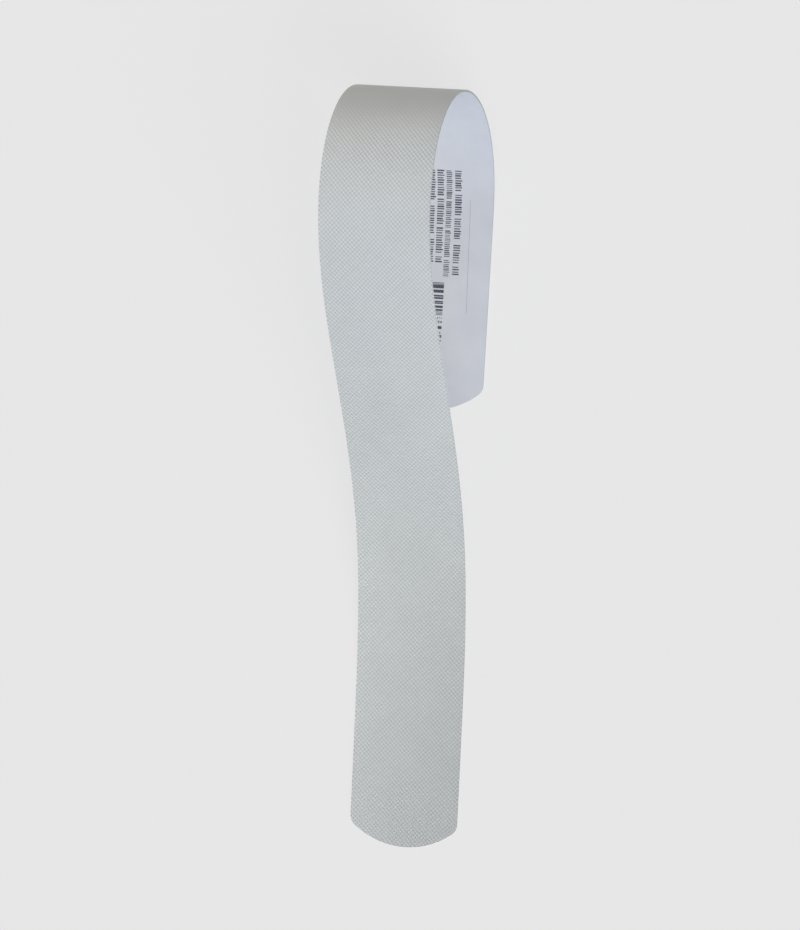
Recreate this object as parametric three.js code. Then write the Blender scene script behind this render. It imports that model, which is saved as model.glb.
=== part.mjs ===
// Bicycle frame protector: a stick-on strip of embossed film on its paper liner, sprung into a loop on a table.
// Millimetres and degrees, +Z up. The tail lies on its liner, then the strip climbs, rolls over and runs back
// beneath itself, where it lies on its film face. The origin is at the middle of the footprint, on the table.
import * as THREE from "three";

// The flat strip
const stripLength = 372;
const stripWidth = 35;
const filmThickness = 0.45;
const linerThickness = 0.15;
const peelClearance = 0.03;
const endRadius = 26;
const cornerRadius = 4;

// In order from the tail's tip: the flat tail, the dip where it lifts, the straight ramp and the loop
const tailRun = 33;
const dipLength = 119;
const rampRun = 4;
const loopLength = 160;

// The lean to one side as it climbs, counted from the start of the dip
const climbLean = 3.2;
const leanAfter = 27;
const leanLength = 180;

// The swing where it hangs straight down, counted from the start of the loop, and where it comes level to land
const frontSwing = -1.3;
const swingAfter = 82;
const swingLength = 40;
const landLength = 54;

// How a curl or a twist grows and fades within its stretch: place in the stretch, share of its strongest
const dipCurve = [[0, 0], [0.56, 1], [1, 0]];
const loopCurve = [[0, 0], [0.2, 0.21], [0.45, 0.6], [0.58, 1], [0.67, 0.84], [0.9, 0.6], [1, 0]];
const leanCurve = [[0, 0], [0.33, 1], [0.67, 1], [1, 0]];
const shortCurve = [[0, 0], [0.5, 1], [1, 0]];

// How finely the strip is followed and drawn
const followStep = 1;
const rowLength = 3.2;
const columnsAcross = 8;
const sharpestDip = 0.03;
const searchPasses = 40;
const levelPasses = 12;

const filmColour = 0xc0c5c8;
const linerColour = 0xc6ccd8;

// A stretch of the strip that is curled or twisted, with its strength at any place along the strip. Its area
// is the angle that a strength of one would turn the strip through
function makeStretch(start, length, curve) {
  let area = 0;
  for (let i = 1; i < curve.length; i += 1) {
    area += length * (curve[i][0] - curve[i - 1][0]) * (curve[i][1] + curve[i - 1][1]) / 2;
  }
  const strengthAt = (run) => {
    const place = (run - start) / length;
    const next = curve.findIndex(([corner]) => place <= corner);
    if (next < 1) {
      return 0;
    }
    const [[before, low], [after, high]] = [curve[next - 1], curve[next]];
    return THREE.MathUtils.mapLinear(place, before, after, low, high);
  };
  return { start, end: start + length, area, strengthAt };
}

const dip = makeStretch(tailRun, dipLength, dipCurve);
const loop = makeStretch(dip.end + rampRun, loopLength, loopCurve);
const lean = makeStretch(dip.start + leanAfter, leanLength, leanCurve);
const swing = makeStretch(loop.start + swingAfter, swingLength, shortCurve);
const landing = makeStretch(loop.end - landLength, landLength, shortCurve);

const leanRate = THREE.MathUtils.degToRad(climbLean) / lean.area;
const swingRate = THREE.MathUtils.degToRad(frontSwing) / swing.area;
const followEnd = Math.max(stripLength, loop.end, lean.end, swing.end);

// Follows the middle of the strip's underside. Each station has its place and its turn, whose own X runs
// across the strip, Y along it and Z out of the film face
function follow(dipCurl, loopCurl, landRate) {
  const place = new THREE.Vector3();
  const turn = new THREE.Quaternion();
  const stations = [{ place: place.clone(), turn: turn.clone() }];
  for (let run = followStep / 2; run < followEnd; run += followStep) {
    const curl = loopCurl * loop.strengthAt(run) - dipCurl * dip.strengthAt(run);
    const twist = leanRate * lean.strengthAt(run) + swingRate * swing.strengthAt(run)
      + landRate * landing.strengthAt(run);
    const axis = new THREE.Vector3(-curl, -twist, 0);
    const halfAngle = axis.length() * followStep / 2;
    const halfTurn = new THREE.Quaternion().setFromAxisAngle(axis.normalize(), halfAngle);
    turn.multiply(halfTurn);
    place.add(new THREE.Vector3(0, followStep, 0).applyQuaternion(turn));
    turn.multiply(halfTurn);
    stations.push({ place: place.clone(), turn: turn.clone() });
  }
  return stations;
}

// For one curl of the dip, the curl of the loop and the twist of the landing that lay the leg level
function levelled(dipCurl) {
  let loopCurl = (Math.PI + dipCurl * dip.area) / loop.area;
  let landRate = 0;
  let stations = follow(dipCurl, loopCurl, landRate);
  for (let pass = 0; pass < levelPasses; pass += 1) {
    const leg = stations.at(-1).turn;
    loopCurl -= new THREE.Vector3(0, 1, 0).applyQuaternion(leg).z / loop.area;
    landRate += new THREE.Vector3(1, 0, 0).applyQuaternion(leg).z / landing.area;
    stations = follow(dipCurl, loopCurl, landRate);
  }
  return stations;
}

// The dip's curl sets how steeply the strip climbs. It is searched until the leg's film face lies on the table
function settled() {
  const legHeight = linerThickness + peelClearance + filmThickness;
  let gentle = 0;
  let steep = sharpestDip;
  for (let pass = 0; pass < searchPasses; pass += 1) {
    const middle = (gentle + steep) / 2;
    if (levelled(middle).at(-1).place.z < legHeight) {
      gentle = middle;
    } else {
      steep = middle;
    }
  }
  return levelled((gentle + steep) / 2);
}

const stations = settled();

// A point of the strip as it lies: its run along the strip, its place across and its height above the underside
function lyingPoint(run, across, height) {
  const index = THREE.MathUtils.clamp(Math.floor(run / followStep), 0, stations.length - 2);
  const share = run / followStep - index;
  const [here, next] = [stations[index], stations[index + 1]];
  const turn = here.turn.clone().slerp(next.turn, share);
  const place = here.place.clone().lerp(next.place, share);
  return new THREE.Vector3(across, 0, height).applyQuaternion(turn).add(place);
}

// How far the rounded end stands back from a square one, at a place across: a broad arc, then a corner arc
function endSetback(across) {
  const side = Math.abs(across);
  const cornerAcross = stripWidth / 2 - cornerRadius;
  if (side < cornerAcross * endRadius / (endRadius - cornerRadius)) {
    return endRadius - Math.sqrt(endRadius ** 2 - side ** 2);
  }
  const cornerBack = endRadius - Math.sqrt((endRadius - cornerRadius) ** 2 - cornerAcross ** 2);
  return cornerBack - Math.sqrt(Math.max(cornerRadius ** 2 - (side - cornerAcross) ** 2, 0));
}

// Draws a row of points in towards the rounded end, less and less away from the end
function shapedRun(squareRun, across) {
  const endZone = 1.5 * endSetback(stripWidth / 2);
  const fromEnd = Math.min(squareRun, stripLength - squareRun);
  const drawnIn = endSetback(across) * Math.max(1 - fromEnd / endZone, 0);
  return squareRun < stripLength / 2 ? squareRun + drawnIn : squareRun - drawnIn;
}

// One layer of the strip: a flat plate, shaped to the rounded outline and laid along the curl
function layerGeometry(underside, thickness) {
  const rows = Math.round(stripLength / rowLength);
  const plate = new THREE.BoxGeometry(stripWidth, stripLength, thickness, columnsAcross, rows);
  const points = plate.attributes.position;
  for (let i = 0; i < points.count; i += 1) {
    const across = stripWidth / 2 * Math.sin(Math.PI * points.getX(i) / stripWidth);
    const run = shapedRun(points.getY(i) + stripLength / 2, across);
    const height = underside + thickness / 2 + points.getZ(i);
    points.setXYZ(i, ...lyingPoint(run, across, height));
  }
  plate.computeVertexNormals();
  return plate;
}

const satinFilm = new THREE.MeshStandardMaterial({ color: filmColour, roughness: 0.45, metalness: 0 });
const linerPaper = new THREE.MeshStandardMaterial({ color: linerColour, roughness: 0.6, metalness: 0 });

const film = new THREE.Mesh(layerGeometry(linerThickness + peelClearance, filmThickness), satinFilm);
film.name = "protective_film";
const liner = new THREE.Mesh(layerGeometry(0, linerThickness), linerPaper);
liner.name = "release_liner";

const frameProtector = new THREE.Group();
frameProtector.add(film, liner);

// The middle of the footprint goes to the origin
const box = new THREE.Box3().setFromObject(frameProtector);
const middle = box.getCenter(new THREE.Vector3());
frameProtector.position.set(-middle.x, -middle.y, -box.min.z);

export default frameProtector;
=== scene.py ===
"""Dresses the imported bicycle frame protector: an embossed film on a printed paper liner, sprung into a loop.

The strip is drawn flat, in millimetres across it, along it and up from its underside. What repeats on it
is made there by Geometry Nodes, and then every point is laid along the same bend as the CAD part's.
"""

import logging
import math
from dataclasses import dataclass, field
from enum import Enum

import bpy
import numpy as np
from mathutils import Euler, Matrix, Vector
from mathutils.geometry import delaunay_2d_cdt

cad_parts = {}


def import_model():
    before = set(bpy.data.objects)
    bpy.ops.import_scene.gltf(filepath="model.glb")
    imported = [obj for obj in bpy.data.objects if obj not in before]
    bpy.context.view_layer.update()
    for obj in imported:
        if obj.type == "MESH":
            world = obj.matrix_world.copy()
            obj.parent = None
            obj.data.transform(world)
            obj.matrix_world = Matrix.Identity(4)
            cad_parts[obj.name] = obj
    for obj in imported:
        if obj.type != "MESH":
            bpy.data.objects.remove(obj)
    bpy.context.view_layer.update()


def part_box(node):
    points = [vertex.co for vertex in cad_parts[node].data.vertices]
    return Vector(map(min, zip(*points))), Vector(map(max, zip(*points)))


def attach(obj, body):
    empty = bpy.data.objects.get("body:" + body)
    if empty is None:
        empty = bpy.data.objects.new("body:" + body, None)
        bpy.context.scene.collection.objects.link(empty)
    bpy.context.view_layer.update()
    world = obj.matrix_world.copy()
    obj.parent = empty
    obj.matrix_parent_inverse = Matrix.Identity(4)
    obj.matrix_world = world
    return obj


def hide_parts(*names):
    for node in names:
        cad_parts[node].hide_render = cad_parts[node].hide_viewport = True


LOG = logging.getLogger("frame_protector")
MM = 0.001
BODY = "root"
PHOTO_SIZE_PX = (800, 930)
EDGE_ANGLE = 40.0
FLAT_MAP = "flat_place"
NOISE_RANGE = (0.3, 0.7)
WARM_LIGHT = (1.0, 0.81, 0.6)
COOL_LIGHT = (0.78, 0.85, 1.0)

Curve = tuple[tuple[float, float], ...]
Rgb = tuple[int, int, int]
Socket = bpy.types.NodeSocket
Material = bpy.types.Material
Piece = bpy.types.Object
SOCKET_KINDS = {float: "NodeSocketFloat", int: "NodeSocketInt", Material: "NodeSocketMaterial"}
Quaternion = tuple[float, float, float, float]


class Shading(Enum):
    """How a piece's faces catch the light."""

    FACETED = "each face by itself"
    SMOOTH = "as one, up to an edge"


def seen_colour(colour: Rgb) -> tuple[float, float, float, float]:
    """Turns a colour as it shows on a screen into the linear colour that a shader takes.

    Args:
        colour: Red, green and blue, 0 to 255.

    Returns:
        The linear colour with a full alpha.
    """
    shares = (value / 255 for value in colour)
    linear = (share / 12.92 if share <= 0.04045 else ((share + 0.055) / 1.055) ** 2.4 for share in shares)
    return (*linear, 1.0)


class NodeTree:
    """Adds nodes to a shader or geometry tree, with their inputs set or joined in one call."""

    def __init__(self, tree: bpy.types.NodeTree) -> None:
        """Keeps the tree, emptied of the nodes it was made with."""
        self.tree = tree
        tree.nodes.clear()

    def add(self, kind: str, inputs: dict | None = None, **settings: object) -> bpy.types.Node:
        """Adds a node.

        Args:
            kind: Blender's name for the node's type.
            inputs: What goes into each input, by its name or place: a socket to join, or a plain value.
            settings: The node's own properties.

        Returns:
            The new node.
        """
        node = self.tree.nodes.new(kind)
        for name, value in settings.items():
            setattr(node, name, value)
        for key, value in (inputs or {}).items():
            if isinstance(value, Socket):
                self.tree.links.new(value, node.inputs[key])
            else:
                node.inputs[key].default_value = value
        return node

    def math(self, operation: str, *values: object) -> Socket:
        """Adds a Math node and gives back its result.

        Args:
            operation: Blender's name for the operation.
            values: A socket or a number for each of its inputs.

        Returns:
            The socket with the result.
        """
        kind = "ShaderNodeMath"
        return self.add(kind, dict(enumerate(values)), operation=operation).outputs[0]

    def crossed_waves(self, across: Socket, along: Socket, turn: object, falling_share: object) -> Socket:
        """Adds two sets of slanting waves that cross: what the film is embossed with.

        Args:
            across: The place across the strip.
            along: The place along it.
            turn: How fast the waves turn with the place.
            falling_share: The share of the height in the waves whose crests fall to the right.

        Returns:
            The height, from minus one to one.
        """
        falling = self.math("COSINE", self.math("MULTIPLY", self.math("ADD", along, across), turn))
        rising = self.math("COSINE", self.math("MULTIPLY", self.math("SUBTRACT", along, across), turn))
        lean = self.math("MULTIPLY", self.math("SUBTRACT", falling, rising), falling_share)
        return self.math("ADD", rising, lean)

    def strained_share(
        self, along: Socket, middle: object, calm: object, full: object, least: object
    ) -> Socket:
        """Gives how much of the embossing is left where the tightest bend strains the film.

        Args:
            along: The place along the strip.
            middle: Where the bend is tightest.
            calm: How far from there the least of it is left.
            full: How far from there all of it is left.
            least: The least share that is left.

        Returns:
            The share that is left.
        """
        away = self.math("ABSOLUTE", self.math("SUBTRACT", along, middle))
        return self.remapped(away, (calm, full), (least, 1.0), "SMOOTHSTEP")

    def remapped(
        self,
        value: Socket,
        given: tuple[object, object],
        wanted: tuple[object, object],
        way: str = "LINEAR",
    ) -> Socket:
        """Moves a value from one range to another and holds it inside.

        Args:
            value: The value.
            given: The ends of the range that it comes in.
            wanted: What they turn into.
            way: Blender's name for the way between the ends.

        Returns:
            The socket with the moved value.
        """
        inputs = {"Value": value, "From Min": given[0], "From Max": given[1]}
        inputs |= {"To Min": wanted[0], "To Max": wanted[1]}
        return self.add("ShaderNodeMapRange", inputs, interpolation_type=way).outputs[0]

    def noise(self, place: Socket, scale: float, detail: float) -> Socket:
        """Adds a noise texture.

        Args:
            place: Where it is read, in millimetres.
            scale: How many of its grains a millimetre has.
            detail: How many finer layers it has.

        Returns:
            The socket with the noise.
        """
        inputs = {"Vector": place, "Scale": scale, "Detail": detail}
        return self.add("ShaderNodeTexNoise", inputs).outputs["Fac"]

    def attribute(self, name: str) -> Socket:
        """Reads a number that each of a piece's points carries.

        Args:
            name: The number's name.

        Returns:
            The socket with the number.
        """
        kind = "GeometryNodeInputNamedAttribute"
        return self.add(kind, {"Name": name}, data_type="FLOAT").outputs[0]

    def blended(self, share: Socket, stops: tuple[tuple[float, Rgb], ...]) -> Socket:
        """Blends from one screen colour to another.

        Args:
            share: How far the blend has come.
            stops: The place in the blend and the screen colour of each end.

        Returns:
            The socket with the colour.
        """
        ramp = self.add("ShaderNodeValToRGB", {"Fac": share})
        for element, (position, colour) in zip(ramp.color_ramp.elements, stops):
            element.position = position
            element.color = seen_colour(colour)
        return ramp.outputs[0]

    def bump(self, height: Socket, depth: float) -> Socket:
        """Roughens a surface a little.

        Args:
            height: The socket with the height, 0 to 1.
            depth: How deep it goes, in millimetres.

        Returns:
            The socket with the normal.
        """
        inputs = {"Height": height, "Distance": depth * MM, "Strength": 1.0}
        return self.add("ShaderNodeBump", inputs).outputs[0]

    def end_in_surface(self, inputs: dict) -> None:
        """Ends a material's tree in a Principled surface.

        Args:
            inputs: What goes into each of the surface's inputs.
        """
        surface = self.add("ShaderNodeBsdfPrincipled", inputs)
        self.add("ShaderNodeOutputMaterial", {0: surface.outputs[0]})

    def straight_look(self) -> Socket:
        """Tells the rays that a camera sends, straight or by a mirror or glass, from those that carry light.

        Returns:
            The socket with one for a camera's ray and nought for the rest.
        """
        path = self.add("ShaderNodeLightPath").outputs
        seen = self.math("MAXIMUM", path["Is Camera Ray"], path["Is Glossy Ray"])
        return self.math("MAXIMUM", seen, path["Is Transmission Ray"])


def new_material(name: str) -> tuple[Material, NodeTree, Socket]:
    """Starts a material that reads a piece's flat UV map.

    Args:
        name: The material's name.

    Returns:
        The material, its tree and the socket with the flat place, in millimetres.
    """
    material = bpy.data.materials.new(name)
    material.use_nodes = True
    tree = NodeTree(material.node_tree)
    return material, tree, tree.add("ShaderNodeUVMap", uv_map=FLAT_MAP).outputs[0]


def new_geometry_tree(name: str, values: dict) -> tuple[NodeTree, bpy.types.Node, dict]:
    """Starts a Geometry Nodes tree with a geometry input, named inputs and a geometry output.

    Args:
        name: The tree's name.
        values: The named inputs, each with its number or material.

    Returns:
        The tree, its Group Input node and each value under its input's identifier.
    """
    group = bpy.data.node_groups.new(name, "GeometryNodeTree")
    group.interface.new_socket("Geometry", in_out="INPUT", socket_type="NodeSocketGeometry")
    group.interface.new_socket("Geometry", in_out="OUTPUT", socket_type="NodeSocketGeometry")
    settings = {}
    for label, value in values.items():
        socket = group.interface.new_socket(label, in_out="INPUT", socket_type=SOCKET_KINDS[type(value)])
        settings[socket.identifier] = value
    tree = NodeTree(group)
    return tree, tree.add("NodeGroupInput"), settings


def end_geometry_tree(tree: NodeTree, geometry: Socket, material: Socket) -> None:
    """Ends a Geometry Nodes tree in Realize Instances and Set Material.

    Args:
        tree: The tree.
        geometry: The socket with the finished geometry.
        material: The socket with the material.
    """
    whole = tree.add("GeometryNodeRealizeInstances", {0: geometry})
    dressed = tree.add("GeometryNodeSetMaterial", {"Geometry": whole.outputs[0], "Material": material})
    tree.add("NodeGroupOutput", {0: dressed.outputs[0]})


def run_geometry_tree(piece: Piece, tree: NodeTree, settings: dict) -> None:
    """Runs a tree on a piece and keeps the result as the piece's plain mesh, with no modifier left.

    Args:
        piece: The piece's object.
        tree: The tree to run.
        settings: A value for each of the tree's inputs, by identifier.
    """
    modifier = piece.modifiers.new(tree.tree.name, "NODES")
    modifier.node_group = tree.tree
    for identifier, value in settings.items():
        modifier[identifier] = value
    graph = bpy.context.evaluated_depsgraph_get()
    result = bpy.data.meshes.new_from_object(
        piece.evaluated_get(graph), preserve_all_data_layers=True, depsgraph=graph
    )
    piece.modifiers.remove(modifier)
    flat = piece.data
    piece.data = result
    result.name = piece.name
    bpy.data.meshes.remove(flat)


def new_piece(name: str, points: np.ndarray, faces: list[tuple[int, ...]]) -> Piece:
    """Makes a flat piece from its points and faces.

    Args:
        name: The piece's name.
        points: A row for each point: across, along and up, in millimetres.
        faces: The faces, as numbers of points.

    Returns:
        The piece's object, in the scene.
    """
    mesh = bpy.data.meshes.new(name)
    mesh.from_pydata((points * MM).tolist(), [], faces)
    piece = bpy.data.objects.new(name, mesh)
    bpy.context.scene.collection.objects.link(piece)
    return piece


def mapped_flat(piece: Piece) -> None:
    """Gives a flat piece a UV map of each corner's place across and along, in millimetres.

    Args:
        piece: The piece's object.
    """
    mesh = piece.data
    corners = np.empty(len(mesh.loops), dtype=np.int64)
    mesh.loops.foreach_get("vertex_index", corners)
    flat = mesh_points(piece)[corners, :2] / MM
    layer = mesh.uv_layers.new(name=FLAT_MAP)
    layer.data.foreach_set("uv", flat.ravel())


def mesh_points(piece: Piece) -> np.ndarray:
    """Reads a piece's points.

    Args:
        piece: The piece's object.

    Returns:
        A row for each point, in metres.
    """
    points = np.empty(len(piece.data.vertices) * 3)
    piece.data.vertices.foreach_get("co", points)
    return points.reshape(-1, 3)


def set_mesh_points(piece: Piece, points: np.ndarray) -> None:
    """Moves a piece's points.

    Args:
        piece: The piece's object.
        points: A row for each point, in metres.
    """
    piece.data.vertices.foreach_set("co", points.ravel())
    piece.data.update()


def turned_on(turn: Quaternion, c: float, a: float, b: float) -> Quaternion:
    """Turns a quaternion on by a small turn about its own X and Y.

    Args:
        turn: The quaternion.
        c: The small turn's cosine part.
        a: Its part about X.
        b: Its part about Y.

    Returns:
        The quaternion after the small turn.
    """
    w, x, y, z = turn
    return (w * c - x * a - y * b, w * a + x * c - z * b, w * b + y * c + z * a, x * b - y * a + z * c)


@dataclass(frozen=True)
class Stretch:
    """A stretch of the strip that is curled or twisted: how the strength grows and fades along it."""

    start: float
    length: float
    curve: Curve

    @property
    def end(self) -> float:
        """Where the stretch ends along the strip."""
        return self.start + self.length

    @property
    def area(self) -> float:
        """The angle that a strength of one would turn the strip through."""
        return sum(
            self.length * (after - before) * (low + high) / 2
            for (before, low), (after, high) in zip(self.curve, self.curve[1:])
        )

    def strength(self, runs: np.ndarray) -> np.ndarray:
        """Gives the strength at places along the strip.

        Args:
            runs: The places.

        Returns:
            The share of the strongest at each place, and nought outside the stretch.
        """
        corners, shares = zip(*self.curve)
        return np.interp((runs - self.start) / self.length, corners, shares, left=0.0, right=0.0)


@dataclass(frozen=True)
class StripOutline:
    """The flat strip's outline: straight sides and broad rounded ends with small corner arcs."""

    length: float = 372.0
    width: float = 35.0
    end_radius: float = 26.0
    corner_radius: float = 4.0

    @property
    def corner_across(self) -> float:
        """How far across the middle of a corner arc lies."""
        return self.width / 2 - self.corner_radius

    @property
    def corner_back(self) -> float:
        """How far the middle of a corner arc stands back from the strip's tip."""
        reach = self.end_radius - self.corner_radius
        return self.end_radius - math.sqrt(reach**2 - self.corner_across**2)

    def ring(self, spacing: float, inset: float = 0.0) -> np.ndarray:
        """Draws the outline.

        Args:
            spacing: The distance between points, about.
            inset: How far inside the outline the ring lies.

        Returns:
            The points in order, each with its place across and along, turning left round the strip.
        """
        spread = math.asin(self.corner_across / (self.end_radius - self.corner_radius))
        broad = self.end_radius - inset
        tight = self.corner_radius - inset
        broad_angles = np.linspace(0, spread, round(spread * self.end_radius / spacing) + 1)
        tight_count = round((math.pi / 2 - spread) * self.corner_radius / spacing) + 2
        tight_angles = np.linspace(spread, math.pi / 2, tight_count)[1:]
        across = np.r_[broad * np.sin(broad_angles), self.corner_across + tight * np.sin(tight_angles)]
        back = np.r_[
            self.end_radius - broad * np.cos(broad_angles), self.corner_back - tight * np.cos(tight_angles)
        ]
        half_end = np.stack((across, back), 1)
        mirrored = half_end[:0:-1] * (-1, 1)
        side_count = round((self.length - 2 * self.corner_back) / spacing)
        side_runs = np.linspace(self.corner_back, self.length - self.corner_back, side_count + 1)[1:-1]
        side = np.stack((np.full(len(side_runs), self.width / 2 - inset), side_runs), 1)
        half = np.vstack((mirrored, half_end, side))
        return np.vstack((half, (0, self.length) - half))

    def holds(self, points: np.ndarray, inset: float) -> np.ndarray:
        """Tells which points lie inside the outline.

        Args:
            points: The points, each with its place across and along.
            inset: How far inside the outline a point has to be.

        Returns:
            True for each point that is inside.
        """
        side = np.abs(points[:, 0])
        from_end = np.minimum(points[:, 1], self.length - points[:, 1])
        broad = self.end_radius - inset
        tight = self.corner_radius - inset
        broad_back = self.end_radius - np.sqrt(np.maximum(broad**2 - side**2, 0))
        tight_back = self.corner_back - np.sqrt(np.maximum(tight**2 - (side - self.corner_across) ** 2, 0))
        meeting = self.corner_across * self.end_radius / (self.end_radius - self.corner_radius)
        back = np.where(side < meeting * broad / self.end_radius, broad_back, tight_back)
        return (side < self.width / 2 - inset) & (from_end > back)


@dataclass
class StripBend:
    """How the strip lies: a flat tail, a dip where it lifts, a ramp, a loop and a leg back beneath itself.

    The sizes and the rule are the CAD part's own. Lengths are in millimetres and angles in degrees.
    """

    outline: StripOutline
    liner_thickness: float = 0.15
    peel_clearance: float = 0.03
    film_thickness: float = 0.45
    tail_run: float = 33.0
    dip_length: float = 119.0
    ramp_run: float = 4.0
    loop_length: float = 160.0
    climb_lean: float = 3.2
    lean_after: float = 27.0
    lean_length: float = 180.0
    front_swing: float = -1.3
    swing_after: float = 82.0
    swing_length: float = 40.0
    land_length: float = 54.0
    dip_curve: Curve = ((0, 0), (0.56, 1), (1, 0))
    loop_curve: Curve = ((0, 0), (0.2, 0.21), (0.45, 0.6), (0.58, 1), (0.67, 0.84), (0.9, 0.6), (1, 0))
    lean_curve: Curve = ((0, 0), (0.33, 1), (0.67, 1), (1, 0))
    short_curve: Curve = ((0, 0), (0.5, 1), (1, 0))
    follow_step: float = 1.0
    sharpest_dip: float = 0.03
    search_passes: int = 30
    level_passes: int = 10
    places: np.ndarray = field(init=False, repr=False)
    turns: np.ndarray = field(init=False, repr=False)
    shift: np.ndarray = field(init=False, repr=False)

    def __post_init__(self) -> None:
        """Lays the stretches end to end and settles the strip on its table."""
        self.dip = Stretch(self.tail_run, self.dip_length, self.dip_curve)
        self.loop = Stretch(self.dip.end + self.ramp_run, self.loop_length, self.loop_curve)
        lean = Stretch(self.dip.start + self.lean_after, self.lean_length, self.lean_curve)
        swing = Stretch(self.loop.start + self.swing_after, self.swing_length, self.short_curve)
        self.landing = Stretch(self.loop.end - self.land_length, self.land_length, self.short_curve)
        middles = np.arange(self.follow_step / 2, self.outline.length, self.follow_step)
        self._dip_shares = self.dip.strength(middles)
        self._loop_shares = self.loop.strength(middles)
        self._landing_shares = self.landing.strength(middles)
        self._steady_twist = (
            math.radians(self.climb_lean) / lean.area * lean.strength(middles)
            + math.radians(self.front_swing) / swing.area * swing.strength(middles)
        )
        self.shift = np.zeros(3)
        self._settle()

    def _follow(self, dip_curl: float, loop_curl: float, land_rate: float) -> tuple[np.ndarray, np.ndarray]:
        """Follows the middle of the strip's underside from the tail's tip.

        Args:
            dip_curl: The dip's strongest curl, in radians a millimetre.
            loop_curl: The loop's strongest curl.
            land_rate: The strongest twist where the leg lands.

        Returns:
            Each station's place, and its turn as a quaternion.
        """
        curls = loop_curl * self._loop_shares - dip_curl * self._dip_shares
        twists = self._steady_twist + land_rate * self._landing_shares
        w, x, y, z = 1.0, 0.0, 0.0, 0.0
        place = [0.0, 0.0, 0.0]
        places, turns = [tuple(place)], [(w, x, y, z)]
        for curl, twist in zip(curls.tolist(), twists.tolist()):
            rate = math.hypot(curl, twist)
            quarter = rate * self.follow_step / 4
            part = math.sin(quarter) / rate if rate else 0.0
            c, a, b = math.cos(quarter), -curl * part, -twist * part
            w, x, y, z = turned_on((w, x, y, z), c, a, b)
            place[0] += self.follow_step * 2 * (x * y - w * z)
            place[1] += self.follow_step * (1 - 2 * (x * x + z * z))
            place[2] += self.follow_step * 2 * (y * z + w * x)
            w, x, y, z = turned_on((w, x, y, z), c, a, b)
            places.append(tuple(place))
            turns.append((w, x, y, z))
        return np.array(places), np.array(turns)

    def _levelled(self, dip_curl: float) -> tuple[np.ndarray, np.ndarray]:
        """Finds the loop's curl and the landing's twist that lay the leg level.

        Args:
            dip_curl: The dip's strongest curl.

        Returns:
            The stations' places and turns.
        """
        loop_curl = (math.pi + dip_curl * self.dip.area) / self.loop.area
        land_rate = 0.0
        places, turns = self._follow(dip_curl, loop_curl, land_rate)
        for _ in range(self.level_passes):
            w, x, y, z = turns[-1]
            loop_curl -= 2 * (y * z + w * x) / self.loop.area
            land_rate += 2 * (x * z - w * y) / self.landing.area
            places, turns = self._follow(dip_curl, loop_curl, land_rate)
        return places, turns

    def _settle(self) -> None:
        """Searches for the dip's curl that brings the leg's film face down to the table."""
        leg_height = self.liner_thickness + self.peel_clearance + self.film_thickness
        gentle, steep = 0.0, self.sharpest_dip
        for _ in range(self.search_passes):
            middle = (gentle + steep) / 2
            places, _ = self._levelled(middle)
            if places[-1][2] < leg_height:
                gentle = middle
            else:
                steep = middle
        self.places, self.turns = self._levelled((gentle + steep) / 2)

    def lay(self, flat: np.ndarray) -> np.ndarray:
        """Lays flat points along the bend.

        Args:
            flat: A row for each point: across, along and up, in millimetres.

        Returns:
            Where each point lies, in millimetres.
        """
        runs = flat[:, 1] / self.follow_step
        index = np.clip(np.floor(runs).astype(int), 0, len(self.places) - 2)
        share = (runs - index)[:, None]
        turns = self.turns[index] * (1 - share) + self.turns[index + 1] * share
        w, x, y, z = (turns / np.linalg.norm(turns, axis=1)[:, None]).T
        places = self.places[index] * (1 - share) + self.places[index + 1] * share
        out_across = np.stack((1 - 2 * (y * y + z * z), 2 * (x * y + w * z), 2 * (x * z - w * y)), 1)
        out_up = np.stack((2 * (x * z + w * y), 2 * (y * z - w * x), 1 - 2 * (x * x + y * y)), 1)
        return places + flat[:, :1] * out_across + flat[:, 2:] * out_up + self.shift

    def stand_on(self, low: Vector, high: Vector, laid: np.ndarray) -> None:
        """Moves the bend to where the CAD part stands.

        Args:
            low: The lowest corner of the CAD node's box, in metres.
            high: The highest corner.
            laid: The same layer's points as the bend lays them, in millimetres.
        """
        step = (np.array(low) + np.array(high)) / 2 / MM - (laid.min(0) + laid.max(0)) / 2
        step[2] = low.z / MM - laid[:, 2].min()
        self.shift = self.shift + step


@dataclass(frozen=True)
class Lattice:
    """The fine lattice that the film is embossed with. Lengths are in millimetres on the flat strip."""

    repeat: float = 1.376
    falling_share: float = 0.58
    strain_middle: float = 251.0
    strain_calm: float = 11.0
    strain_full: float = 27.0
    least_share: float = 0.2

    @property
    def strain(self) -> tuple[float, float, float]:
        """Where the bend strains the film most, and how far from there the least and all of it is left."""
        return self.strain_middle, self.strain_calm, self.strain_full


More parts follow.
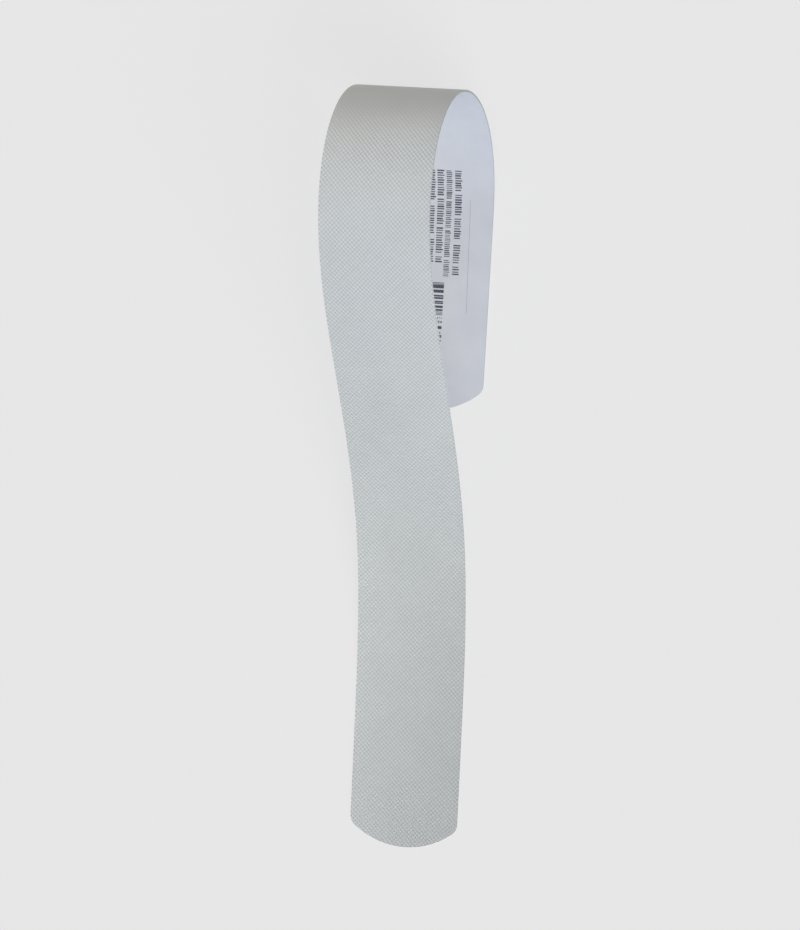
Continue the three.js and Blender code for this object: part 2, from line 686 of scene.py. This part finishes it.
@dataclass(frozen=True)
class SatinFilmFinish:
    """Clear satin film over white adhesive: a pale cool grey with a fine grain in its gloss. Its colour paints
    a highlight on each bump's crest and shade in its valleys.
    """

    lattice: Lattice
    crest_highlight_colour: Rgb = (200, 206, 208)
    valley_shade_colour: Rgb = (160, 166, 169)
    relief_shade_range: tuple[float, float] = (0.1, 0.9)
    cloud_scale: float = 0.06
    cloud_share: float = 0.25
    smooth: float = 0.36
    rough: float = 0.5
    grain_mm: float = 0.12
    grain_height: float = 0.004
    refraction: float = 1.49

    def build(self) -> Material:
        """Builds the material.

        Returns:
            The film's material.
        """
        material, tree, flat = new_material("satin_film")
        place = tree.add("ShaderNodeSeparateXYZ", {0: flat}).outputs
        cut = self.lattice
        waves = tree.crossed_waves(place[0], place[1], 2 * math.pi / cut.repeat, cut.falling_share)
        left = tree.strained_share(place[1], *cut.strain, cut.least_share)
        # Painted highlight and shade: the colour follows the bumps' height, lighter on the crests and darker
        # in the valleys, and less so where less of the embossing is left.
        share = tree.remapped(tree.math("MULTIPLY", waves, left), (-1.0, 1.0), self.relief_shade_range)
        clouds = tree.math("SUBTRACT", tree.noise(flat, self.cloud_scale, 3.0), 0.5)
        relief_shade_and_clouds = tree.math("ADD", share, tree.math("MULTIPLY", clouds, self.cloud_share))
        grain = tree.noise(flat, 1 / self.grain_mm, 2.0)
        tree.end_in_surface({
            "Base Color": tree.blended(relief_shade_and_clouds, ((0.0, self.valley_shade_colour), (1.0, self.crest_highlight_colour))),
            "Roughness": tree.remapped(grain, NOISE_RANGE, (self.smooth, self.rough)),
            "Normal": tree.bump(grain, self.grain_height),
            "IOR": self.refraction,
        })
        return material


@dataclass(frozen=True)
class PaperFinish:
    """The liner's smooth bluish white paper, with a faint mottle and fine fibres."""

    light: Rgb = (215, 221, 231)
    dark: Rgb = (207, 213, 224)
    mottle_mm: float = 14.0
    fibre_mm: float = 0.25
    fibre_shares: tuple[float, float, float] = (1.0, 0.35, 1.0)
    fibre_height: float = 0.004
    smooth: float = 0.49
    rough: float = 0.61

    def build(self) -> Material:
        """Builds the material.

        Returns:
            The liner's material.
        """
        material, tree, flat = new_material("liner_paper")
        mottle = tree.noise(flat, 1 / self.mottle_mm, 4.0)
        stretched = tree.add("ShaderNodeMapping", {"Vector": flat, "Scale": self.fibre_shares}).outputs[0]
        fibres = tree.noise(stretched, 1 / self.fibre_mm, 3.0)
        tree.end_in_surface({
            "Base Color": tree.blended(mottle, tuple(zip(NOISE_RANGE, (self.dark, self.light)))),
            "Roughness": tree.remapped(fibres, NOISE_RANGE, (self.smooth, self.rough)),
            "Normal": tree.bump(fibres, self.fibre_height),
        })
        return material


@dataclass(frozen=True)
class InkFinish:
    """Printing ink, uneven where the paper's grain took less of it."""

    name: str = "liner_ink"
    full: Rgb = (44, 50, 66)
    worn: Rgb = (112, 119, 134)
    worn_range: tuple[float, float] = (0.4, 0.75)
    grain_mm: float = 0.3
    roughness: float = 0.5

    def build(self) -> Material:
        """Builds the material.

        Returns:
            The ink's material.
        """
        material, tree, flat = new_material(self.name)
        grain = tree.noise(flat, 1 / self.grain_mm, 2.0)
        colour = tree.blended(grain, tuple(zip(self.worn_range, (self.full, self.worn))))
        tree.end_in_surface({"Base Color": colour, "Roughness": self.roughness})
        return material


@dataclass
class StripLayer:
    """One layer of the strip: a closed sheet with a small round along the edge of its upper face."""

    outline: StripOutline
    bend: StripBend
    name: str
    node: str
    slot: str
    underside: float
    thickness: float
    edge_round: float
    edge_spacing: float

    def _cover(self, ring: np.ndarray, inner: np.ndarray) -> list[tuple[int, int, int]]:
        """Covers the inside of a ring with triangles.

        Args:
            ring: The ring's points, across and along.
            inner: The points inside it.

        Returns:
            The triangles, turning left, as numbers of the ring's points and then the inner ones.
        """
        points = np.vstack((ring, inner))
        corners = [Vector(point) for point in points.tolist()]
        only_inside, nearness = 1, 1e-5
        border = [list(range(len(ring)))]
        _, _, faces, origins, _, _ = delaunay_2d_cdt(corners, [], border, only_inside, nearness)
        cover = []
        for face in faces:
            first, second, third = (origins[corner][0] for corner in face)
            (ax, ay), (bx, by), (cx, cy) = points[[first, second, third]]
            turns_left = (bx - ax) * (cy - ay) - (by - ay) * (cx - ax) > 0
            cover.append((first, second, third) if turns_left else (first, third, second))
        return cover

    def _grid(self, across: float, along: float) -> np.ndarray:
        """Gives the points of a plain grid inside the outline.

        Args:
            across: The spacing across.
            along: The spacing along.

        Returns:
            The points, across and along.
        """
        columns = np.arange(-math.floor(self.outline.width / 2 / across), self.outline.width / 2 / across)
        rows = np.arange(1, self.outline.length / along)
        spread = np.stack(np.meshgrid(columns * across, rows * along), -1).reshape(-1, 2)
        return spread[self.outline.holds(spread, self.edge_round + self.edge_spacing / 2)]

    def flat_sheet(self, upper: np.ndarray, lower: np.ndarray) -> Piece:
        """Makes the layer flat.

        Args:
            upper: The points inside the upper face, across and along.
            lower: The points inside the lower face.

        Returns:
            The layer's object, whose point attribute pressed is one on the upper face and nought elsewhere.
        """
        inner_rim = self.outline.ring(self.edge_spacing, self.edge_round)
        outer_rim = self.outline.ring(self.edge_spacing)
        rims = [inner_rim, outer_rim, outer_rim]
        top = self.underside + self.thickness
        heights = (top, top - self.edge_round, self.underside)
        count = len(rims[0])
        upper_faces = self._cover(rims[0], upper)
        lower_faces = self._cover(rims[2], lower)
        parts = [np.column_stack((rim, np.full(count, height))) for rim, height in zip(rims, heights)]
        parts.append(np.column_stack((upper, np.full(len(upper), heights[0]))))
        parts.append(np.column_stack((lower, np.full(len(lower), heights[2]))))
        first_upper, first_lower = 3 * count, 3 * count + len(upper)
        upper_numbers = [*range(count), *range(first_upper, first_lower)]
        lower_numbers = [*range(2 * count, 3 * count), *range(first_lower, first_lower + len(lower))]
        faces = [tuple(upper_numbers[corner] for corner in face) for face in upper_faces]
        faces += [tuple(lower_numbers[corner] for corner in face[::-1]) for face in lower_faces]
        for level in (0, count):
            faces += [
                (level + i, level + count + i, level + count + (i + 1) % count, level + (i + 1) % count)
                for i in range(count)
            ]
        sheet = new_piece(self.name, np.vstack(parts), faces)
        pressed = np.zeros(first_lower + len(lower), dtype=np.float32)
        pressed[:count] = 1
        pressed[first_upper:first_lower] = 1
        sheet.data.attributes.new("pressed", "FLOAT", "POINT").data.foreach_set("value", pressed)
        mapped_flat(sheet)
        return sheet

    def finish(self, sheet: Piece, shading: Shading) -> None:
        """Lays the layer along the bend, shades it, hangs it on the body and hides the CAD part that it stands
        in for.

        Args:
            sheet: The flat layer.
            shading: How its faces catch the light.
        """
        laid = self.bend.lay(mesh_points(sheet) / MM)
        set_mesh_points(sheet, laid * MM)
        if shading is Shading.SMOOTH:
            sheet.data.shade_smooth()
            sheet.data.set_sharp_from_angle(angle=math.radians(EDGE_ANGLE))
        else:
            sheet.data.shade_flat()
        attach(sheet, BODY)
        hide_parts(self.node)


@dataclass
class EmbossedFilm(StripLayer):
    """The protective film, with a fine lattice of bumps pressed into its outer face."""

    lattice: Lattice = Lattice()
    depth: float = 0.17
    under_grid: tuple[float, float] = (5.0, 1.25)

    def build(self) -> Piece:
        """Builds the film.

        Returns:
            The film's object.
        """
        quarter = self.lattice.repeat / 4
        reach = math.floor(self.outline.width / 2 / quarter)
        columns = np.arange(-reach, reach + 1)
        rows = np.arange(1, math.floor(self.outline.length / quarter))
        spread = np.stack(np.meshgrid(columns, rows), -1).reshape(-1, 2)
        lattice = spread[spread.sum(1) % 2 == 0] * quarter
        upper = lattice[self.outline.holds(lattice, self.edge_round + quarter / 2)]
        film = self.flat_sheet(upper, self._grid(*self.under_grid))
        self._emboss(film, SatinFilmFinish(self.lattice).build())
        return film

    def _emboss(self, film: Piece, material: Material) -> None:
        """Presses the bumps into the film's outer face by Geometry Nodes.

        Args:
            film: The flat film.
            material: The film's material.
        """
        cut = self.lattice
        values = {
            "Depth": self.depth * MM,
            "Repeat": cut.repeat * MM,
            "Falling Share": cut.falling_share,
            "Strain Middle": cut.strain_middle * MM,
            "Strain Calm": cut.strain_calm * MM,
            "Strain Full": cut.strain_full * MM,
            "Least Share": cut.least_share,
            "Material": material,
        }
        tree, given, settings = new_geometry_tree("emboss_film", values)
        position = tree.add("GeometryNodeInputPosition").outputs[0]
        place = tree.add("ShaderNodeSeparateXYZ", {0: position}).outputs
        turn = tree.math("DIVIDE", 2 * math.pi, given.outputs["Repeat"])
        raised = tree.crossed_waves(place[0], place[1], turn, given.outputs["Falling Share"])
        sunk = tree.math("MULTIPLY", tree.math("SUBTRACT", raised, 1.0), 0.5)
        labels = ("Strain Middle", "Strain Calm", "Strain Full", "Least Share")
        left = tree.strained_share(place[1], *(given.outputs[label] for label in labels))
        depth = tree.math("MULTIPLY", given.outputs["Depth"], left)
        down = tree.math("MULTIPLY", tree.math("MULTIPLY", sunk, tree.attribute("pressed")), depth)
        offset = tree.add("ShaderNodeCombineXYZ", {"Z": down}).outputs[0]
        moved = tree.add("GeometryNodeSetPosition", {"Geometry": given.outputs["Geometry"], "Offset": offset})
        end_geometry_tree(tree, moved.outputs[0], given.outputs["Material"])
        run_geometry_tree(film, tree, settings)


@dataclass
class ReleaseLiner(StripLayer):
    """The paper liner that backs the film all over."""

    grid: tuple[float, float] = (3.5, 1.0)

    def build(self) -> Piece:
        """Builds the liner.

        Returns:
            The liner's object.
        """
        inner = self._grid(*self.grid)
        liner = self.flat_sheet(inner, inner)
        liner.data.materials.append(PaperFinish().build())
        return liner


@dataclass(frozen=True)
class TickRow:
    """A straight row of plain printed ticks. Places and sizes are in millimetres on the flat strip."""

    start: tuple[float, float]
    end: tuple[float, float]
    pitch: float
    tick: tuple[float, float]
    word: float = 0.0
    gap_in_pitches: float = 1.2

    def places(self) -> np.ndarray:
        """Gives the middle of each tick, with a gap after each word's length.

        Returns:
            The places, across and along.
        """
        length = math.dist(self.start, self.end)
        steps = np.arange(0, length, self.pitch)
        if self.word:
            steps = steps[steps % self.word < self.word - self.gap_in_pitches * self.pitch]
        start, end = np.array(self.start), np.array(self.end)
        return start + steps[:, None] / length * (end - start)


@dataclass
class LinerPrint:
    """What is printed on the liner's free side: rows of ticks and a block of stripes, with no lettering."""

    bend: StripBend
    ink_height: float = 0.012
    ink_sunk: float = 0.008
    least_height: float = 0.8
    least_width: float = 0.5
    wander: float = 0.11
    seed: int = 7
    rows: tuple[TickRow, ...] = (
        TickRow((6.15, 297.9), (6.6, 330.4), 0.74, (2.3, 0.52), 7.4),
        TickRow((3.2, 297.9), (3.5, 330.6), 0.6, (1.95, 0.4), 9.2),
        TickRow((0.4, 297.9), (0.85, 326.2), 0.74, (2.3, 0.5), 8.8),
        TickRow((-2.4, 297.9), (-1.95, 326.2), 0.74, (2.2, 0.5), 10.4),
        TickRow((-8.0, 343.4), (3.0, 343.4), 0.6, (0.36, 0.5)),
        TickRow((-8.0, 344.6), (3.0, 344.6), 0.72, (0.46, 0.85)),
        TickRow((-8.0, 348.0), (3.0, 348.0), 0.66, (0.4, 0.4)),
        TickRow((-8.0, 349.0), (3.0, 349.0), 0.52, (0.46, 1.0)),
        TickRow((-8.0, 350.4), (3.0, 350.4), 0.6, (0.4, 0.6)),
    )
    stripe_length: float = 11.1
    stripe_across: float = -2.5
    stripes: tuple[tuple[float, float], ...] = (
        (332.6, 0.22), (333.0, 0.22), (333.75, 1.1), (335.2, 0.95), (336.6, 0.52), (337.32, 0.58),
        (338.38, 0.42), (338.9, 0.42), (339.98, 0.72), (340.98, 0.56), (341.6, 0.2), (342.02, 0.2),
        (342.45, 0.2), (346.4, 0.9),
    )

    def build(self) -> Piece:
        """Builds the print.

        Returns:
            The object with all the ticks.
        """
        places = [row.places() for row in self.rows]
        counts = [len(place) for place in places]
        ticks = np.repeat([row.tick for row in self.rows], counts, axis=0)
        stripes = [(self.stripe_across, middle, self.stripe_length, width) for middle, width in self.stripes]
        marks = np.vstack((np.column_stack((np.vstack(places), ticks)), stripes))
        level = (self.ink_sunk - self.ink_height) / 2
        ink = new_piece("liner_print", np.column_stack((marks[:, :2], np.full(len(marks), level))), [])
        even = np.arange(len(marks)) >= len(ticks)
        for name, values in (("tall", marks[:, 2] * MM), ("wide", marks[:, 3] * MM), ("even", even)):
            numbers = ink.data.attributes.new(name, "FLOAT", "POINT")
            numbers.data.foreach_set("value", values.astype(np.float32))
        self._print_ticks(ink, InkFinish().build())
        mapped_flat(ink)
        set_mesh_points(ink, self.bend.lay(mesh_points(ink) / MM) * MM)
        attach(ink, BODY)
        return ink

    def _print_ticks(self, ink: Piece, material: Material) -> None:
        """Puts a tick of uneven height and width on each spot by Geometry Nodes.

        Args:
            ink: The object whose points are the ticks' spots.
            material: The ink's material.
        """
        values = {
            "Ink Depth": (self.ink_height + self.ink_sunk) * MM,
            "Least Height": self.least_height,
            "Least Width": self.least_width,
            "Wander": self.wander * MM,
            "Seed": self.seed,
            "Material": material,
        }
        tree, given, settings = new_geometry_tree("print_ticks", values)
        tall, wide, even = (tree.attribute(name) for name in ("tall", "wide", "even"))
        uneven = []
        for step, (least, most) in enumerate((("Least Height", 1.0), ("Least Width", 1.0), ("Wander", 0.0))):
            seed = tree.math("ADD", given.outputs["Seed"], step)
            limits = {2: given.outputs[least], 3: most, "Seed": seed}
            uneven.append(tree.add("FunctionNodeRandomValue", limits, data_type="FLOAT").outputs[1])
        height = tree.math("MULTIPLY", tall, tree.math("MAXIMUM", uneven[0], even))
        width = tree.math("MULTIPLY", wide, tree.math("MAXIMUM", uneven[1], even))
        drop = tree.math("MULTIPLY", tree.math("SUBTRACT", height, tall), 0.5)
        stray = tree.math("MULTIPLY", uneven[2], tree.math("SUBTRACT", 1.0, even))
        offset = tree.add("ShaderNodeCombineXYZ", {"X": drop, "Y": stray}).outputs[0]
        spots = tree.add("GeometryNodeSetPosition", {"Geometry": given.outputs["Geometry"], "Offset": offset})
        size = tree.add("ShaderNodeCombineXYZ", {"X": height, "Y": width, "Z": given.outputs["Ink Depth"]})
        tick = tree.add("GeometryNodeMeshCube", {"Size": (1.0, 1.0, 1.0)})
        ticks = tree.add(
            "GeometryNodeInstanceOnPoints",
            {"Points": spots.outputs[0], "Instance": tick.outputs[0], "Scale": size.outputs[0]},
        )
        end_geometry_tree(tree, ticks.outputs[0], given.outputs["Material"])
        run_geometry_tree(ink, tree, settings)


@dataclass
class PeelSlit:
    """The short hair-fine slit in the liner that starts the peeling, drawn as a thin strip of painted shade
    where its gap lies.
    """

    bend: StripBend
    start: tuple[float, float] = (10.05, 306.6)
    end: tuple[float, float] = (10.75, 341.6)
    width: float = 0.16
    height: float = 0.008
    sunk: float = 0.008
    step: float = 1.0
    # Not ink: these two colours are the painted shade in the slit's gap, uneven by the paper's grain.
    finish: InkFinish = InkFinish("slit_shadow", (172, 178, 190), (186, 192, 203), roughness=0.7)

    def build(self) -> Piece:
        """Builds the strip of painted shade that stands for the slit.

        Returns:
            The line's object.
        """
        start, end = np.array(self.start), np.array(self.end)
        count = round(math.dist(start, end) / self.step)
        middles = start + np.linspace(0, 1, count + 1)[:, None] * (end - start)
        half = self.width / 2
        corners = ((-half, -self.height), (half, -self.height), (half, self.sunk), (-half, self.sunk))
        rings = np.stack(
            [np.column_stack((middles + (side, 0), np.full(count + 1, up))) for side, up in corners], 1
        )
        faces = [
            (4 * row + i, 4 * row + 4 + i, 4 * row + 4 + (i + 1) % 4, 4 * row + (i + 1) % 4)
            for row in range(count)
            for i in range(4)
        ]
        faces += [(0, 1, 2, 3), tuple(4 * count + i for i in (3, 2, 1, 0))]
        slit = new_piece("liner_slit_shade", rings.reshape(-1, 3), faces)
        mapped_flat(slit)
        slit.data.materials.append(self.finish.build())
        set_mesh_points(slit, self.bend.lay(mesh_points(slit) / MM) * MM)
        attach(slit, BODY)
        return slit


class LampKind(Enum):
    """The kinds of lamp in the studio, by Blender's names."""

    SKY = "SUN"
    SOFTBOX = "AREA"
    SPOT = "SPOT"


@dataclass(frozen=True)
class Lamp:
    """One lamp. Its spread is a sky's angle, a softbox's width or the radius that a spot lights."""

    name: str
    kind: LampKind
    strength: float
    spread: float
    place: tuple[float, float, float]
    aim: tuple[float, float, float] = (0.0, 0.0, 0.02)
    colour: tuple[float, float, float] = (1.0, 1.0, 1.0)
    spot_softness: float = 0.03

    def build(self, lit: bpy.types.Collection) -> None:
        """Hangs the lamp in its place, turned towards its aim. It lights, and no camera sees it.

        Args:
            lit: What all but the skies light. The skies light the floor too.
        """
        light = bpy.data.lights.new(self.name, self.kind.value)
        light.energy = self.strength
        light.color = self.colour
        beam = Vector(self.aim) - Vector(self.place)
        if self.kind is LampKind.SKY:
            light.angle = math.radians(self.spread)
        elif self.kind is LampKind.SOFTBOX:
            light.shape = "DISK"
            light.size = self.spread
        else:
            light.spot_size = 2 * math.atan(self.spread / beam.length)
            light.spot_blend = 1.0
            light.shadow_soft_size = self.spot_softness
        lamp = bpy.data.objects.new(self.name, light)
        lamp.location = self.place
        lamp.rotation_euler = beam.to_track_quat("-Z", "Y").to_euler()
        lamp.visible_camera = False
        if self.kind is not LampKind.SKY:
            lamp.light_linking.receiver_collection = lit
        bpy.context.scene.collection.objects.link(lamp)


@dataclass
class Studio:
    """The plain pale floor, the backdrop of the same colour and the soft light."""

    floor_colour: Rgb = (231, 231, 231)
    plain_colour: Rgb = (243, 243, 243)
    floor_size: float = 12.0
    floor_drop: float = 0.00003
    shadow_share: float = 0.2
    ambient: float = 0.2
    lamps: tuple[Lamp, ...] = (
        Lamp("key_sky", LampKind.SKY, 1.45, 40.0, (0.612, -0.612, 0.5)),
        Lamp("high_sky", LampKind.SKY, 0.275, 40.0, (0.354, -0.354, 0.866)),
        Lamp("back_left_softbox", LampKind.SOFTBOX, 1.076, 0.5, (-0.3, 0.3, 0.3), colour=WARM_LIGHT),
        Lamp("tail_softbox", LampKind.SOFTBOX, 0.133, 0.2, (-0.12, -0.12, 0.12)),
        Lamp("loop_softbox", LampKind.SOFTBOX, 0.08, 0.1, (0.0, 0.1, 0.2), (0.0, 0.08, 0.03), COOL_LIGHT),
        Lamp("leg_softbox", LampKind.SOFTBOX, 0.0137, 0.05, (0.07, 0.01, 0.06), (0.01, 0.02, 0.0)),
        Lamp("tail_spot", LampKind.SPOT, 4.16, 0.1, (-0.2, -0.1, 0.6), (-0.1, -0.06, 0.0)),
    )

    def build(self, pieces: list[Piece]) -> None:
        """Lays the floor, sets the backdrop and hangs the lamps.

        Args:
            pieces: The object's pieces, which the softboxes and the spot light.
        """
        self._lay_floor()
        self._set_backdrop()
        lit = bpy.data.collections.new("lit_pieces")
        for piece in pieces:
            lit.objects.link(piece)
        for lamp in self.lamps:
            lamp.build(lit)

    def _lay_floor(self) -> None:
        """Lays the floor, which the camera sees mostly in its plain colour and partly with its shadows."""
        half = self.floor_size / 2
        mesh = bpy.data.meshes.new("floor")
        corners = [(-half, -half), (half, -half), (half, half), (-half, half)]
        mesh.from_pydata([(x, y, -self.floor_drop) for x, y in corners], [], [(0, 1, 2, 3)])
        floor = bpy.data.objects.new("floor", mesh)
        bpy.context.scene.collection.objects.link(floor)
        material = bpy.data.materials.new("pale_floor")
        material.use_nodes = True
        tree = NodeTree(material.node_tree)
        colour = seen_colour(self.floor_colour)
        lit = tree.add("ShaderNodeBsdfDiffuse", {"Color": colour})
        plain = tree.add("ShaderNodeEmission", {"Color": seen_colour(self.plain_colour), "Strength": 1.0})
        share = tree.math("MULTIPLY", tree.straight_look(), 1 - self.shadow_share)
        shown = tree.add("ShaderNodeMixShader", {0: share, 1: lit.outputs[0], 2: plain.outputs[0]})
        tree.add("ShaderNodeOutputMaterial", {0: shown.outputs[0]})
        mesh.materials.append(material)

    def _set_backdrop(self) -> None:
        """Makes the world a plain backdrop of the floor's colour, with an even soft light."""
        world = bpy.data.worlds.new("studio")
        world.use_nodes = True
        bpy.context.scene.world = world
        tree = NodeTree(world.node_tree)
        seen = tree.add("ShaderNodeBackground", {"Color": seen_colour(self.floor_colour), "Strength": 1.0})
        light = tree.add("ShaderNodeBackground", {"Color": (1.0, 1.0, 1.0, 1.0), "Strength": self.ambient})
        share = tree.straight_look()
        shown = tree.add("ShaderNodeMixShader", {0: share, 1: light.outputs[0], 2: seen.outputs[0]})
        tree.add("ShaderNodeOutputWorld", {0: shown.outputs[0]})


@dataclass(frozen=True)
class PhotoCamera:
    """The camera at the photograph's viewing angle."""

    focal_px: float = 2913.4
    sensor_mm: float = 36.0
    place_mm: tuple[float, float, float] = (276.56, 47.9, 861.27)
    turn_degrees: tuple[float, float, float] = (-2.023, 18.3886, 2.7777)
    clip_m: tuple[float, float] = (0.01, 50.0)

    def build(self) -> None:
        """Places the camera and makes it the scene's own."""
        view = bpy.data.cameras.new("photo_camera")
        view.sensor_width = self.sensor_mm
        view.lens = self.focal_px * self.sensor_mm / max(PHOTO_SIZE_PX)
        view.clip_start, view.clip_end = self.clip_m
        camera = bpy.data.objects.new("photo_camera", view)
        camera.location = Vector(self.place_mm) * MM
        camera.rotation_euler = Euler([math.radians(angle) for angle in self.turn_degrees])
        bpy.context.scene.collection.objects.link(camera)
        bpy.context.scene.camera = camera


def dress_strip() -> list[Piece]:
    """Builds the film, the liner and what is printed on it, in order.

    Returns:
        The pieces.
    """
    outline = StripOutline()
    bend = StripBend(outline)
    LOG.info("the strip's bend is settled")
    film = EmbossedFilm(
        outline,
        bend,
        name="film_embossed",
        node="protective_film",
        slot="film",
        underside=bend.liner_thickness + bend.peel_clearance,
        thickness=bend.film_thickness,
        edge_round=0.06,
        edge_spacing=0.688,
    )
    sheet = film.build()
    low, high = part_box("protective_film")
    bend.stand_on(low, high, bend.lay(mesh_points(sheet) / MM))
    film.finish(sheet, Shading.FACETED)
    LOG.info("film: %d faces", len(sheet.data.polygons))
    liner = ReleaseLiner(
        outline,
        bend,
        name="liner_paper",
        node="release_liner",
        slot="liner",
        underside=0.0,
        thickness=bend.liner_thickness,
        edge_round=0.03,
        edge_spacing=1.0,
    )
    paper = liner.build()
    liner.finish(paper, Shading.SMOOTH)
    LOG.info("liner: %d faces", len(paper.data.polygons))
    ink = LinerPrint(bend).build()
    LOG.info("print: %d faces", len(ink.data.polygons))
    slit = PeelSlit(bend).build()
    LOG.info("peel slit: %d faces", len(slit.data.polygons))
    return [sheet, paper, ink, slit]


def main() -> None:
    """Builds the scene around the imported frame."""
    logging.basicConfig(level=logging.INFO)
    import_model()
    PhotoCamera().build()
    pieces = dress_strip()
    Studio().build(pieces)
    LOG.info("camera and studio stand")
    bpy.context.scene.view_settings.view_transform = "Standard"


if __name__ == "__main__":
    main()
